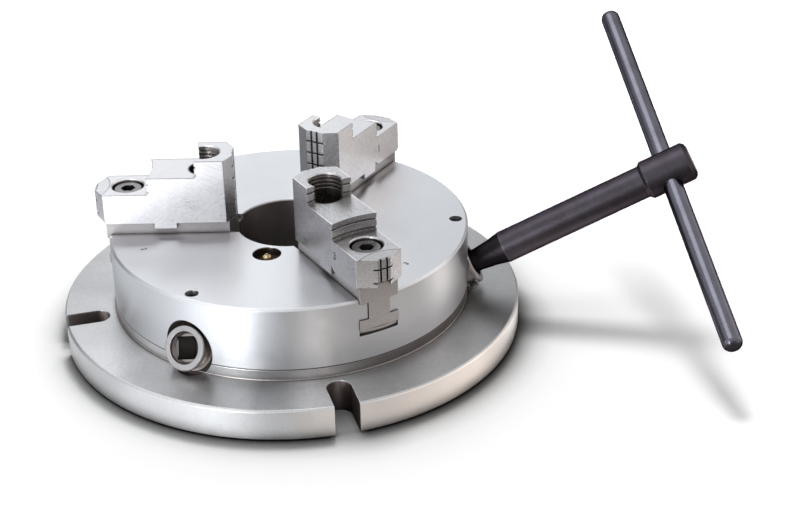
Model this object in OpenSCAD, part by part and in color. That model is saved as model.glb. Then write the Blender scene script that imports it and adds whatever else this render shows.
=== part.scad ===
// Stationary three-jaw scroll chuck with its key, in millimetres.
// +Z points up. The origin lies on the bore's axis, in the bottom face of the flange.
// The clamping slots point along the X and Y axes.

/* [Base] */
// Diameter of the mounting flange
flange_d = 212.5; // [206:0.5:225]
// Thickness of the flange
flange_t = 15; // [14:0.5:20]
// Height of the raised ring, from the flange up to the seam
ring_h = 5.2; // [4.8:0.1:7]
// Width of the four open clamping slots
slot_w = 11; // [8:0.5:14]
// Distance from the raised ring to the round ends of the slots
slot_gap = 3.5; // [2:0.5:6]

/* [Body] */
// Diameter of the body and of the raised ring under it
body_d = 165; // [162:0.5:172]
// Height of the body above the seam
body_h = 29.6; // [28:0.1:34]
// Diameter of the through bore
bore_d = 48; // [40:0.5:50]
// Wall between the bore and the scroll
hub_t = 7; // [6:0.5:7.5]
// Wall outside the scroll
wall_t = 16.45; // [15.5:0.05:17.5]
// Chamfer on the turned outer edges
edge_c = 1; // [0.5:0.1:1.5]
// Chamfer round the mouth of the bore
mouth_c = 0.6; // [0.3:0.1:1.5]

/* [Scroll] */
// Radial pitch of the spiral thread
scroll_pitch = 7; // [6.5:0.1:8]
// Radial thickness of the spiral thread
thread_t = 3.2; // [2.6:0.1:3.4]
// Height of the spiral thread
thread_h = 2.7; // [2:0.1:3.2]
// Thickness of the plate under the thread
plate_t = 12; // [11.8:0.1:13]
// Thickness of the plate's rim over the pinions
rim_t = 3.1; // [2.6:0.1:3.3]

/* [Bevel gearing] */
// Teeth on each pinion
pinion_teeth = 12; // [12:1:12]
// Turns of a pinion for one turn of the scroll
gear_ratio = 6; // [6:1:6]
// Radial width of the teeth along the pinion's axis
face_w = 8.5; // [6:0.5:9]
// Play between the tooth flanks
backlash = 0.3; // [0.2:0.05:0.5]

/* [Pinions] */
// Slant of the pinions above the horizontal, in degrees
pinion_tilt = 27; // [26.5:0.1:27.5]
// Height of the pinion's outer end above the seam, at its axis
pinion_rise = 7.1; // [6.9:0.1:7.3]
// How far the pinion's outer end stands out from the body
pinion_out = 3; // [2:0.1:3.5]
// Diameter of the pinion's journal
journal_d = 20; // [19:0.1:20.2]
// Diameter of the clearance round the outer end of each pinion
relief_d = 23.6; // [22.5:0.1:24.5]
// Width across the flats of the square socket
socket_af = 10; // [9:0.1:10.2]
// Depth of the socket, from the pinion's outer end
socket_depth = 17; // [14:0.5:18]
// Diameter of the round mouth of the socket
socket_mouth_d = 14.5; // [14.4:0.1:15.5]
// Turn of the square in the pinion at the front left, in degrees
free_socket_turn = 15; // [0:1:45]

/* [Jaw guides] */
// Width of the jaw's lower flange
tee_w = 18.9; // [17:0.1:20]
// Thickness of the jaw's lower flange
tee_t = 4.75; // [4.2:0.05:6]
// Width of the jaw's neck
neck_w = 10.3; // [9.5:0.1:11]
// Depth of the guide's wide recess in the top face
recess_h = 2; // [1:0.1:2.5]
// Gap on each side of the jaw's neck
neck_gap = 0.3; // [0.1:0.05:0.5]
// Sliding clearance of the jaws
slide_gap = 0.05; // [0.03:0.01:0.1]

/* [Jaws] */
// Radius at which the noses of the jaws stand
jaw_r = 23.9; // [21:0.1:26]
// Width of the upper half of the master jaws
master_w = 18.5; // [17:0.1:18.8]
// Height of the master jaws above the body
master_h = 5.8; // [4.5:0.1:7]
// Width of the top jaws
top_w = 21.9; // [19:0.1:24]
// Radial length of the high step
high_l = 16.9; // [16.5:0.1:18]
// Radial length of the middle step
mid_l = 22.1; // [20:0.1:24]
// Radial length of the low step
low_l = 24.8; // [23.5:0.1:27]
// Height of the low step above the master jaw
low_h = 14.3; // [14:0.1:18]
// Rise from one step to the next
step_h = 8; // [7:0.1:10]
// Half width of the flat strip on the nose
nose_half = 4.3; // [2:0.1:5]
// Half width of the flat strip on the outer end of the top jaws
end_half = 3.1; // [2.5:0.1:4]
// Radius of the hollow wall above the middle step
high_wall_r = 66; // [45:1:90]
// Radius of the hollow wall above the low step
low_wall_r = 36; // [30:1:60]
// Thickness of the teeth that run in the scroll
tooth_t = 3.2; // [2.8:0.1:3.4]
// Width of the cross key under the top jaws
key_w = 10.2; // [8:0.1:12]
// Depth of the cross key
key_h = 2.6; // [2:0.1:3.5]

/* [Fasteners] */
// Nominal diameter of the jaw screws
jaw_screw_d = 8; // [6:0.5:8]
// Distance between the two screws of a jaw
jaw_screw_gap = 35.7; // [35:0.1:36.5]
// Distance from the jaw's nose to its inner screw
jaw_screw_in = 13.3; // [13:0.1:13.8]
// Diameter of the counterbores for the jaw screws
head_bore_d = 14.4; // [13.6:0.1:15]
// Nominal diameter of the screws that hold body and base together
body_screw_d = 6; // [5:0.5:8]
// Distance of these screws and of the dowels from the body's outside
body_screw_in = 8; // [7.5:0.1:9]
// Diameter of the dowels
dowel_d = 5; // [4:0.5:6]
// Nominal diameter of the pinion screws in the top face
stop_screw_d = 6; // [5:0.1:7]
// Distance of the pinion screws from the body's outside
stop_screw_in = 5.6; // [5:0.1:6.2]
// Diameter of the grease nipple's recess
nipple_bore_d = 13; // [10:0.5:14]
// Radius at which the grease nipple sits
nipple_r = 32.6; // [31.5:0.1:36]

/* [Key] */
// Diameter of the key's shank
shank_d = 15.2; // [13:0.1:17]
// Diameter of the neck behind the square
neck_d = 10.7; // [10.6:0.1:12]
// Length of the shank, from the pinion's end to the head
shank_l = 87; // [70:1:110]
// Diameter of the head
head_d = 18.2; // [17.5:0.1:22]
// Length of the head
head_l = 24; // [18:0.5:30]
// Diameter of the cross bar
bar_d = 9; // [7:0.1:10]
// Length of the cross bar
bar_l = 195; // [150:1:220]
// Length of the bar's lower arm, from the head's axis
bar_low_l = 97; // [60:1:110]
// Turn of the bar about the key's axis, in degrees
bar_turn = 120; // [90:1:150]
// Lean of the bar and its hole, away from square to the key, in degrees
bar_lean = 2.6; // [0:0.1:4]

/* [Hidden] */
$fn = 96;

// Colours of the finishes
turned_steel = [0.72, 0.73, 0.75];
ground_steel = [0.82, 0.83, 0.85];
black_steel = [0.13, 0.13, 0.14];
bright_screw = [0.6, 0.61, 0.63];
brass = [0.74, 0.6, 0.3];

// Directions, in degrees about the bore
jaw_az = [45, 165, 285];
pinion_az = [225, 345, 105];
body_screw_az = [for (a = pinion_az) for (s = [-30, 30]) a + s];
dowel_az = [240, 60];
nipple_az = 239.7;
key_pinion = pinion_az[1];

// General clearances
eps = 0.01;
run_gap = 0.05;
seam_c = 0.3;
break_c = 0.5;
cut_h = 40;

// Radii of the turned parts
flange_r = flange_d / 2;
body_r = body_d / 2;
bore_r = bore_d / 2;
hub_r = bore_r + hub_t;
cavity_r = body_r - wall_t;
slot_end_r = body_r + slot_gap;

// Heights, from the bottom up
seam_z = flange_t + ring_h;
plate_z = seam_z + 0.1;
root_z = plate_z + plate_t;
thread_z = root_z + thread_h;
cavity_z = thread_z + 0.2;
guide_floor_z = root_z - 0.2;
tooth_z = root_z + 0.25;
tee_z = cavity_z + tee_t;
top_z = seam_z + body_h;
recess_z = top_z - recess_h;
master_z = top_z + master_h;
low_z = master_z + low_h;
mid_z = low_z + step_h;
high_z = mid_z + step_h;

// Pinion axes: they meet the bore's axis at the apex
pinion_face_r = body_r + pinion_out;
apex_z = seam_z + pinion_rise - pinion_face_r * tan(pinion_tilt);
face_l = pinion_face_r / cos(pinion_tilt);
journal_r = journal_d / 2;
relief_r = relief_d / 2;
relief_l = 8;

// Bevel pair: distances l run along the pinion's axis from the apex
shaft_angle = 90 - pinion_tilt;
pinion_cone = atan2(sin(shaft_angle), gear_ratio + cos(shaft_angle));
gear_cone = shaft_angle - pinion_cone;
gear_teeth = pinion_teeth * gear_ratio;
teeth_behind = 21.46;
tooth_out_l = face_l - teeth_behind;
tooth_in_l = tooth_out_l - face_w;
pitch_r = tooth_out_l * tan(pinion_cone);
module_out = 2 * pitch_r / pinion_teeth;
pressure = 20;
shift = 0.35;
pinion_add = 1.1 * module_out;
gear_add = 0.6 * module_out;
tip_gap = 0.25 * module_out;
slant_out = tooth_out_l / cos(pinion_cone);
root_rise = 90 - gear_cone + atan2(pinion_add + tip_gap, slant_out);
rim_z = root_z - rim_t;

// Spiral thread: radius of its middle at azimuth a, in degrees
spiral_r0 = hub_r - 1;
thread_first = 360 * (thread_t / 2 + 1.4) / scroll_pitch;
thread_last = 360 * (cavity_r - run_gap - 0.4 - thread_t / 2 - spiral_r0) / scroll_pitch;
function spiral_r(a) = spiral_r0 + scroll_pitch * a / 360;

// Jaws: the distances x run outwards from the bore's axis
master_end_x = body_r + 0.4;
flank = tan(30);
high_x = jaw_r + high_l;
mid_x = high_x + mid_l;
end_x = mid_x + low_l;
inner_screw_x = jaw_r + jaw_screw_in;
outer_screw_x = inner_screw_x + jaw_screw_gap;
cross_key_x = (inner_screw_x + outer_screw_x) / 2 + 0.5;
out_x = end_x - (top_w / 2 - end_half) * flank;
head_sink = 1.2;
screw_seat_z = low_z - head_sink - jaw_screw_d;
screw_tip_z = tee_z + 1.4;
lead = atan2(scroll_pitch, PI * (hub_r + cavity_r));

// Screws and dowels between base and body, and the grease nipple's holes
head_ratio = 0.8125;
fastener_x = body_r - body_screw_in;
body_seat_z = body_screw_d + 1;
body_hole_z = seam_z + 11.5;
dowel_z = seam_z - 7;
dowel_l = 14;
stop_x = body_r - stop_screw_in;
nipple_z = top_z - 4;
nipple_tap_z = nipple_z - 5;
nipple_shank_r = 2.45;

// Key: the distances s run outwards from the pinion's end
socket_mouth_l = 3.2;
square_af = socket_af - 0.3;
bar_s = shank_l + head_l / 2;
bar_r = bar_d / 2;

// Turns the part's +Z into the outward axis of the pinion at azimuth a
module along_pinion(a) {
    rotate([0, 0, a]) translate([0, 0, apex_z]) rotate([0, 90 - pinion_tilt, 0]) children();
}

// Round bar with one or both edges chamfered
module chamfered_rod(r, h, low_c, high_c) {
    rotate_extrude()
        polygon([[0, 0], [r - low_c, 0], [r, low_c], [r, h - high_c], [r - high_c, h], [0, h]]);
}

// Hexagon socket, cut downwards from z = 0
module hex_socket(af, depth) {
    translate([0, 0, -depth]) cylinder(r = af / 2 / cos(30), h = depth + 1, $fn = 6);
}

// Socket head screw whose head seats at z = 0 and whose tip points down
module cap_screw(d, l) {
    difference() {
        union() {
            translate([0, 0, -l]) chamfered_rod(d / 2 - run_gap, l + eps, 0.1 * d, 0);
            chamfered_rod(head_ratio * d, d, 0, break_c);
        }
        translate([0, 0, d]) hex_socket(0.75 * d, 0.55 * d);
    }
}

// Room for one pinion in base and body
module pinion_seat(a) {
    tooth_room = 0.4;
    along_pinion(a) {
        translate([0, 0, tooth_in_l - 2 * tooth_room])
            cylinder(r = pitch_r + pinion_add + tooth_room, h = face_w + 3 * tooth_room);
        translate([0, 0, tooth_out_l]) cylinder(r = journal_r + run_gap, h = face_l - tooth_out_l);
        translate([0, 0, face_l - relief_l]) cylinder(r = relief_r, h = cut_h);
    }
}

module clamp_slots() {
    for (a = [0:90:270]) rotate([0, 0, a]) {
        translate([slot_end_r + slot_w / 2, 0, -1]) cylinder(d = slot_w, h = flange_t + 2);
        translate([slot_end_r + slot_w / 2, -slot_w / 2, -1]) cube([flange_r, slot_w, flange_t + 2]);
    }
}

// Reamed holes for the dowels, through the seam between base and body
module dowel_holes() {
    for (a = dowel_az) rotate([0, 0, a]) translate([fastener_x, 0, dowel_z])
        cylinder(d = dowel_d + 0.04, h = dowel_l + 0.3);
}

module base_flange() {
    profile = [
        [bore_r, 0], [flange_r - edge_c, 0], [flange_r, edge_c], [flange_r, flange_t - edge_c],
        [flange_r - edge_c, flange_t], [body_r, flange_t], [body_r, seam_z - seam_c],
        [body_r - seam_c, seam_z], [bore_r, seam_z]
    ];
    color(turned_steel) difference() {
        rotate_extrude() polygon(profile);
        clamp_slots();
        for (a = pinion_az) pinion_seat(a);
        for (a = body_screw_az) rotate([0, 0, a]) translate([fastener_x, 0, -1]) {
            cylinder(d = body_screw_d + 0.6, h = seam_z + 2);
            cylinder(r = head_ratio * body_screw_d + 0.5, h = body_seat_z + 1);
        }
        dowel_holes();
    }
}

// Guide for one jaw, open at the bore and at the rim
module jaw_guide(a) {
    from_x = bore_r - 8;
    l = body_r - from_x + 5;
    recess_w = master_w + 0.4;
    rotate([0, 0, a]) translate([from_x, 0, 0]) {
        translate([0, -tee_w / 2 - slide_gap, guide_floor_z])
            cube([l, tee_w + 2 * slide_gap, tee_z + slide_gap - guide_floor_z]);
        translate([0, -neck_w / 2 - neck_gap, guide_floor_z])
            cube([l, neck_w + 2 * neck_gap, top_z - guide_floor_z + 1]);
        translate([0, -recess_w / 2, recess_z]) cube([l, recess_w, recess_h + 1]);
    }
}

module chuck_body() {
    profile = [
        [bore_r, seam_z], [hub_r, seam_z], [hub_r, cavity_z], [cavity_r, cavity_z],
        [cavity_r, seam_z], [body_r - seam_c, seam_z], [body_r, seam_z + seam_c],
        [body_r, top_z - edge_c], [body_r - edge_c, top_z], [bore_r + mouth_c, top_z],
        [bore_r, top_z - mouth_c]
    ];
    color(turned_steel) difference() {
        rotate_extrude() polygon(profile);
        for (a = jaw_az) jaw_guide(a);
        for (a = pinion_az) pinion_seat(a);
        for (a = pinion_az) rotate([0, 0, a])
            translate([stop_x, 0, seam_z + pinion_rise]) cylinder(d = stop_screw_d, h = body_h);
        for (a = body_screw_az) rotate([0, 0, a])
            translate([fastener_x, 0, seam_z - 1]) cylinder(d = body_screw_d, h = body_hole_z - seam_z + 1);
        dowel_holes();
        rotate([0, 0, nipple_az]) translate([nipple_r, 0, 0]) {
            translate([0, 0, nipple_z]) cylinder(d = nipple_bore_d, h = cut_h);
            translate([0, 0, nipple_tap_z]) cylinder(r = nipple_shank_r + run_gap, h = cut_h);
            translate([0, 0, cavity_z - 1]) cylinder(r = 1, h = nipple_tap_z - cavity_z + 2);
        }
    }
}

// Spiral thread on top of the scroll plate
module spiral_thread() {
    step = 6;
    turn = [for (a = [thread_first:step:thread_last]) a];
    back = [for (i = [len(turn) - 1:-1:0]) turn[i]];
    outline = concat(
        [for (a = turn) (spiral_r(a) + thread_t / 2) * [cos(a), sin(a)]],
        [for (a = back) (spiral_r(a) - thread_t / 2) * [cos(a), sin(a)]]
    );
    translate([0, 0, root_z - eps]) linear_extrude(thread_h + eps) polygon(outline);
}

// One straight bevel tooth of the gear, pointing down towards the pinion
module gear_tooth(a) {
    end_room = 0.3;
    sink = 0.5;
    in_slant = tooth_in_l / cos(pinion_cone) + end_room;
    out_slant = slant_out - end_room;
    half = module_out * (PI / 4 - shift * tan(pressure)) - backlash / 4;
    low = -pinion_add - tip_gap - sink;
    size = in_slant / slant_out;
    outline = [
        [low, half - low * tan(pressure)], [gear_add, half - gear_add * tan(pressure)],
        [gear_add, -half + gear_add * tan(pressure)], [low, -half + low * tan(pressure)]
    ];
    rotate([0, 0, a]) translate([0, 0, apex_z]) rotate([0, gear_cone, 0])
        translate([0, 0, in_slant])
            linear_extrude(out_slant - in_slant, scale = out_slant / in_slant) polygon(size * outline);
}

module scroll_plate() {
    bore = hub_r + run_gap;
    rim_r = cavity_r - run_gap;
    profile = [
        [bore, plate_z], [(plate_z - apex_z) / tan(root_rise), plate_z],
        [(rim_z - apex_z) / tan(root_rise), rim_z], [rim_r, rim_z], [rim_r, root_z], [bore, root_z]
    ];
    color(ground_steel) {
        rotate_extrude() polygon(profile);
        spiral_thread();
        for (i = [0:gear_teeth - 1]) gear_tooth((i + 0.5) * 360 / gear_teeth);
    }
}

// Involute flank: polar angle, in degrees, of the flank at radius r
function involute(r, base_r) = tan(acos(base_r / r)) * 180 / PI - acos(base_r / r);

// Outline of the pinion at its outer tooth ends
function pinion_outline() =
    let (base_r = pitch_r * cos(pressure), tip_r = pitch_r + pinion_add,
         root_r = pitch_r - gear_add - tip_gap, first_r = max(base_r, root_r) + 0.01, n = 5,
         thick = module_out * (PI / 2 + 2 * shift * tan(pressure)) - backlash / 2,
         half = thick / 2 / pitch_r * 180 / PI + involute(pitch_r, base_r),
         radii = [for (i = [0:n]) first_r + (tip_r - first_r) * i / n],
         pitch_a = 360 / pinion_teeth)
    [for (k = [0:pinion_teeth - 1]) each concat(
        [[root_r, k * pitch_a - half]],
        [for (r = radii) [r, k * pitch_a - half + involute(r, base_r)]],
        [for (i = [n:-1:0]) [radii[i], k * pitch_a + half - involute(radii[i], base_r)]],
        [[root_r, k * pitch_a + half]]
    )];

module pinion(n) {
    size = tooth_in_l / tooth_out_l;
    outline = [for (p = pinion_outline()) size * p[0] * [cos(p[1]), sin(p[1])]];
    groove_l = (stop_x + journal_r * sin(pinion_tilt)) / cos(pinion_tilt);
    groove_w = stop_screw_d - 0.8;
    groove_depth = 1.5;
    collar_l = tooth_out_l + 2;
    color(ground_steel) along_pinion(pinion_az[n - 1]) difference() {
        union() {
            translate([0, 0, tooth_in_l]) linear_extrude(face_w, scale = 1 / size) polygon(outline);
            translate([0, 0, tooth_in_l + 1]) cylinder(r = 0.8 * pitch_r, h = face_w + 1.5);
            translate([0, 0, collar_l]) chamfered_rod(journal_r, face_l - collar_l, break_c, break_c);
        }
        translate([0, 0, groove_l - groove_w / 2]) difference() {
            cylinder(r = journal_r + 1, h = groove_w);
            cylinder(r = journal_r - groove_depth, h = groove_w);
        }
        translate([0, 0, face_l - socket_mouth_l])
            cylinder(d1 = socket_mouth_d - 2.2, d2 = socket_mouth_d, h = socket_mouth_l / 2);
        translate([0, 0, face_l - socket_mouth_l / 2]) cylinder(d = socket_mouth_d, h = socket_mouth_l);
        translate([0, 0, face_l - socket_depth]) rotate([0, 0, n == 1 ? free_socket_turn : 0])
            translate([-socket_af / 2, -socket_af / 2, 0]) cube([socket_af, socket_af, socket_depth]);
    }
}

// Dog point screw that runs in the groove of one pinion
module pinion_screw(n) {
    axis_z = apex_z + stop_x * tan(pinion_tilt);
    dog_z = axis_z + journal_r / cos(pinion_tilt) - 0.8;
    thread_low_z = axis_z + relief_r / cos(pinion_tilt) + 1.5;
    head_z = top_z - 2.4;
    color(bright_screw) rotate([0, 0, pinion_az[n - 1]])
        translate([stop_x, 0, 0]) difference() {
            union() {
                translate([0, 0, dog_z]) cylinder(r = 1.6, h = thread_low_z - dog_z + 1);
                translate([0, 0, thread_low_z])
                    chamfered_rod(stop_screw_d / 2 - run_gap, head_z - thread_low_z, 0.4, 0.5);
            }
            translate([0, 0, head_z]) hex_socket(stop_screw_d / 2, 3);
        }
}

// Plan of a jaw of width w, from its pointed nose out to x
function nose_plan(w, x) =
    let (side_x = jaw_r + (w / 2 - nose_half) * flank)
    [[jaw_r, -nose_half], [side_x, -w / 2], [x, -w / 2], [x, w / 2], [side_x, w / 2], [jaw_r, nose_half]];

// Plan of one scroll tooth: bulged outside and hollowed inside, to fit every turn of the spiral
module tooth_plan(x) {
    out_r = hub_r + 2;
    in_r = cavity_r + 1;
    w = tee_w - 0.4;
    translate([x, 0]) rotate(-lead) intersection() {
        translate([-tooth_t, -w / 2]) square([2 * tooth_t, w]);
        difference() {
            translate([tooth_t / 2 - out_r, 0]) circle(out_r);
            translate([-tooth_t / 2 - in_r, 0]) circle(in_r);
        }
    }
}

module master_jaw(n) {
    az = jaw_az[n - 1];
    first_x = spiral_r(az + 180);
    tooth_x = [for (k = [-4:12]) let (x = first_x + k * scroll_pitch)
        if (x > jaw_r + 8 && x < master_end_x - tooth_t / 2) x];
    color(ground_steel) rotate([0, 0, az]) difference() {
        union() {
            translate([0, 0, recess_z + slide_gap])
                linear_extrude(master_z - recess_z - slide_gap)
                    polygon(nose_plan(master_w, master_end_x));
            translate([0, 0, tee_z - 1]) linear_extrude(recess_z - tee_z + 2)
                polygon(nose_plan(neck_w, master_end_x));
            translate([0, 0, cavity_z]) linear_extrude(tee_t) polygon(nose_plan(tee_w, master_end_x));
            for (x = tooth_x) translate([0, 0, tooth_z]) linear_extrude(cavity_z - tooth_z + 0.5)
                tooth_plan(x);
        }
        translate([cross_key_x - key_w / 2 - run_gap, -tee_w, master_z - key_h - 0.2])
            cube([key_w + 2 * run_gap, 2 * tee_w, key_h + 1]);
        for (x = [inner_screw_x, outer_screw_x]) translate([x, 0, screw_tip_z - 0.5])
            cylinder(d = jaw_screw_d, h = master_z);
    }
}

// Hollow wall of radius r with two grooves: its edges stand at x, and it rises from z
module step_wall(x, z, r) {
    centre_x = x + sqrt(pow(r, 2) - pow(top_w / 2, 2));
    groove = 0.7;
    translate([centre_x, 0, z]) cylinder(r = r, h = 2 * step_h + 1);
    for (dz = [0.7, 4.7]) translate([centre_x, 0, z + dz]) cylinder(r = r + groove, h = 1);
}

// Counterbore and clearance hole of a jaw screw, chamfered where the mouth is, at mouth_z
module screw_bore(x, mouth_z) {
    translate([x, 0, master_z - 5]) cylinder(d = jaw_screw_d + 0.6, h = 20);
    translate([x, 0, screw_seat_z]) cylinder(d = head_bore_d, h = cut_h);
    translate([x, 0, mouth_z - break_c])
        cylinder(r1 = head_bore_d / 2, r2 = head_bore_d / 2 + 2 * break_c, h = 2 * break_c);
}

// Rings that the cutter left in the counterbore of the high step
module bore_rings() {
    ring = 0.35;
    for (z = [mid_z + 1:1.8:high_z - 1]) translate([inner_screw_x, 0, z])
        cylinder(r = head_bore_d / 2 + ring, h = 0.8);
}

// Crossed grooves in the outer end of a top jaw
module end_grooves() {
    width = 0.8;
    for (y = [-1.5, 1.5]) translate([end_x - width, y - 0.5, master_z]) cube([2, 1, low_h + 1]);
    for (z = [low_z - 4.9, low_z - 11.2]) translate([end_x - 1, -top_w / 2, z - width / 2])
        cube([2, top_w, width]);
}

// Crossed grooves in the nose, which bite into the work
module nose_grooves() {
    depth = 0.5;
    width = 0.8;
    for (y = [-1.5, 1.5]) translate([jaw_r - 1, y - 0.5, master_z - 1])
        cube([1 + depth, 1, high_z - master_z + 2]);
    for (k = [0:4]) translate([jaw_r - 1, -top_w / 2, high_z - 5.7 - 5.75 * k])
        cube([1 + depth, top_w, width]);
}

// Plan of a top jaw, pointed at both ends
function top_plan() =
    let (plan = nose_plan(top_w, out_x))
    [plan[0], plan[1], plan[2], [end_x, -end_half], [end_x, end_half], plan[3], plan[4], plan[5]];

module top_jaw(n) {
    lip = 1;
    notch_h = 3.5;
    arc_x = 6.6;
    arc_r = 18.1;
    arc_h = 0.45;
    mark_x = cross_key_x + key_w / 2 + 0.3;
    side = [
        [jaw_r, master_z], [cross_key_x - key_w / 2, master_z],
        [cross_key_x - key_w / 2, master_z - key_h], [cross_key_x + key_w / 2, master_z - key_h],
        [cross_key_x + key_w / 2, master_z], [out_x - lip, master_z], [out_x, master_z + lip],
        [end_x, master_z + lip], [end_x, low_z], [mid_x, low_z], [mid_x, mid_z], [high_x, mid_z],
        [high_x, high_z], [jaw_r, high_z]
    ];
    notch = [
        [master_end_x, master_z - 1], [end_x + 1, master_z - 1],
        [end_x + 1, master_z + notch_h + flank], [master_end_x, master_z]
    ];
    mark = [
        [mark_x, master_z - 1], [mark_x + 4, master_z - 1], [mark_x + 3, master_z],
        [mark_x, master_z + 2]
    ];
    color(ground_steel) rotate([0, 0, jaw_az[n - 1]]) difference() {
        intersection() {
            rotate([90, 0, 0]) linear_extrude(top_w + 2, center = true) polygon(side);
            linear_extrude(high_z + 1) polygon(top_plan());
        }
        step_wall(mid_x, low_z, low_wall_r);
        step_wall(high_x, mid_z, high_wall_r);
        screw_bore(inner_screw_x, high_z);
        screw_bore(outer_screw_x, low_z);
        bore_rings();
        translate([end_x - arc_x + arc_r, 0, low_z - arc_h])
            cylinder(r1 = arc_r - arc_x, r2 = arc_r + arc_x, h = 2 * arc_h);
        rotate([90, 0, 0]) linear_extrude(2 * end_half, center = true) polygon(notch);
        translate([0, -top_w / 2 + 1, 0]) rotate([90, 0, 0]) linear_extrude(2) polygon(mark);
        end_grooves();
        nose_grooves();
    }
}

// Socket head screw of one jaw, seated at x
module jaw_bolt(n, x) {
    color(bright_screw) rotate([0, 0, jaw_az[n - 1]]) translate([x, 0, screw_seat_z])
        cap_screw(jaw_screw_d, screw_seat_z - screw_tip_z);
}

module grease_nipple() {
    hex_h = 1.2;
    cone_h = 1.6;
    ball_r = 1.6;
    color(brass) rotate([0, 0, nipple_az]) translate([nipple_r, 0, 0]) {
        translate([0, 0, nipple_tap_z]) cylinder(r = nipple_shank_r, h = nipple_z - nipple_tap_z + hex_h);
        translate([0, 0, nipple_z]) cylinder(r = 3.6, h = hex_h, $fn = 6);
        translate([0, 0, nipple_z + hex_h - eps]) cylinder(r1 = 2.8, r2 = 1.8, h = cone_h);
        translate([0, 0, nipple_z + hex_h + cone_h - 0.4]) sphere(r = ball_r);
    }
}

module body_screws() {
    color(bright_screw) for (a = body_screw_az) rotate([0, 0, a])
        translate([fastener_x, 0, body_seat_z]) rotate([180, 0, 0])
            cap_screw(body_screw_d, body_hole_z - 1 - body_seat_z);
}

module dowel_pins() {
    color(bright_screw) for (a = dowel_az) rotate([0, 0, a])
        translate([fastener_x, 0, dowel_z]) chamfered_rod(dowel_d / 2, dowel_l, break_c, break_c);
}

module key_shaft() {
    square_end = -socket_depth + 1.5;
    neck_s = -socket_mouth_l + run_gap;
    end_s = shank_l + head_l;
    profile = [
        [0, neck_s], [neck_d / 2 - 0.4, neck_s], [neck_d / 2, neck_s + 0.4], [neck_d / 2, 2],
        [neck_d / 2 + 1, 10], [shank_d / 2, 16], [shank_d / 2, shank_l],
        [head_d / 2, shank_l + 1.6], [head_d / 2, end_s - 2], [head_d / 2 - 1.3, end_s - 0.4],
        [head_d / 2 - 2, end_s - 0.4], [head_d / 2 - 2.4, end_s], [0, end_s]
    ];
    color(black_steel) along_pinion(key_pinion) translate([0, 0, face_l]) difference() {
        union() {
            rotate_extrude() polygon(profile);
            intersection() {
                translate([-square_af / 2, -square_af / 2, square_end])
                    cube([square_af, square_af, neck_s + 1 - square_end]);
                translate([0, 0, square_end])
                    chamfered_rod(0.65 * socket_af, neck_s + 1 - square_end, 2, 0);
            }
        }
        translate([0, 0, bar_s]) rotate([0, 0, bar_turn]) rotate([0, 90 - bar_lean, 0])
            cylinder(r = bar_r + run_gap, h = 2 * head_d, center = true);
    }
}

module key_bar() {
    round_r = bar_r - 1;
    edge = [for (a = [0:15:90]) [bar_r - round_r + round_r * cos(a), round_r * sin(a)]];
    half = concat([for (p = edge) [p[0], bar_l - round_r + p[1]]], [[0, bar_l]]);
    low = [for (i = [len(edge) - 1:-1:0]) [edge[i][0], round_r - edge[i][1]]];
    color(black_steel) along_pinion(key_pinion) translate([0, 0, face_l + bar_s])
        rotate([0, 0, bar_turn]) rotate([0, 90 - bar_lean, 0]) translate([0, 0, -bar_low_l])
            rotate_extrude() polygon(concat([[0, 0]], low, half));
}

base_flange();
chuck_body();
scroll_plate();
grease_nipple();
body_screws();
dowel_pins();
key_shaft();
key_bar();
for (n = [1:3]) {
    pinion(n);
    pinion_screw(n);
    master_jaw(n);
    top_jaw(n);
    jaw_bolt(n, inner_screw_x);
    jaw_bolt(n, outer_screw_x);
}
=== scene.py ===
import math
import bpy
from mathutils import Matrix, Vector


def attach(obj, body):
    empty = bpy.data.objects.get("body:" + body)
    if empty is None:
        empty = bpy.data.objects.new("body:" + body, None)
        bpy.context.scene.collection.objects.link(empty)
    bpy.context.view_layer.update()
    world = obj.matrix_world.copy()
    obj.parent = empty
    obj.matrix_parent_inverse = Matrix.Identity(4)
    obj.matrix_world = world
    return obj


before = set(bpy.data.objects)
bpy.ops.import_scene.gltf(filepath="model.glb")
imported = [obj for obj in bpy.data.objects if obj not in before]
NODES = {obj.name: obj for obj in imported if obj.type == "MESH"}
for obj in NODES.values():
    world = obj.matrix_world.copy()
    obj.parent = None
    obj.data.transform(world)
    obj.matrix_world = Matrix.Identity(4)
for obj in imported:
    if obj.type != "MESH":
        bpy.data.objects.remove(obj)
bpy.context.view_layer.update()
scene = bpy.context.scene

# Sizes and places in the CAD model that the materials follow, in metres and degrees
BODY_R = 0.0825  # body, and the raised ring under it
BORE_R = 0.024
FLANGE_R = 0.10625
FLANGE_TOP = 0.015
SEAM_Z = 0.0202  # between the raised ring and the body
TOP_Z = 0.0498  # top face of the body
OUTSIDE = 0.08  # beyond this radius lie only the outer faces of the ring, and the flange

JAW_AZ = (45, 165, 285)
JAW_R = 0.0239  # inner end of a top jaw
JAW_END = 0.0877  # outer end of a top jaw
NOSE_HALF = 0.0043  # half the flat of the nose, between its chamfers
END_HALF = 0.0031  # the same at the outer end
FLANK = math.tan(math.radians(30))  # slope of those chamfers
MASTER_Z = 0.0556  # top of the master jaws
LOW_STEP_Z = 0.0699
HIGH_Z = 0.0859
INNER_SCREW_X = 0.0372
WELL_R = 0.0077  # well of that screw
ARC_X = 0.0992  # centre and radius of the arc in the low step
ARC_R = 0.0181

PINION_AZ = (225, 345, 105)
TILT = math.radians(27)
APEX = (0, 0, -0.016264)  # where the slanted axes of the pinions meet
FACE_L = 0.09596  # from there to a pinion's outer face
CONE_L = FACE_L + 0.0156  # from there to the foot of the key's cone
HEAD_L = FACE_L + 0.1103  # from there to the end face of the key's head
RELIEF_R = 0.0118
SOCKET_R = 0.0073  # round mouth of a socket, and its depth
SOCKET_MOUTH = 0.0034

NIPPLE_AZ = 239.7
NIPPLE_R = 0.0326
NIPPLE_CUP_R = 0.0066

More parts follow.
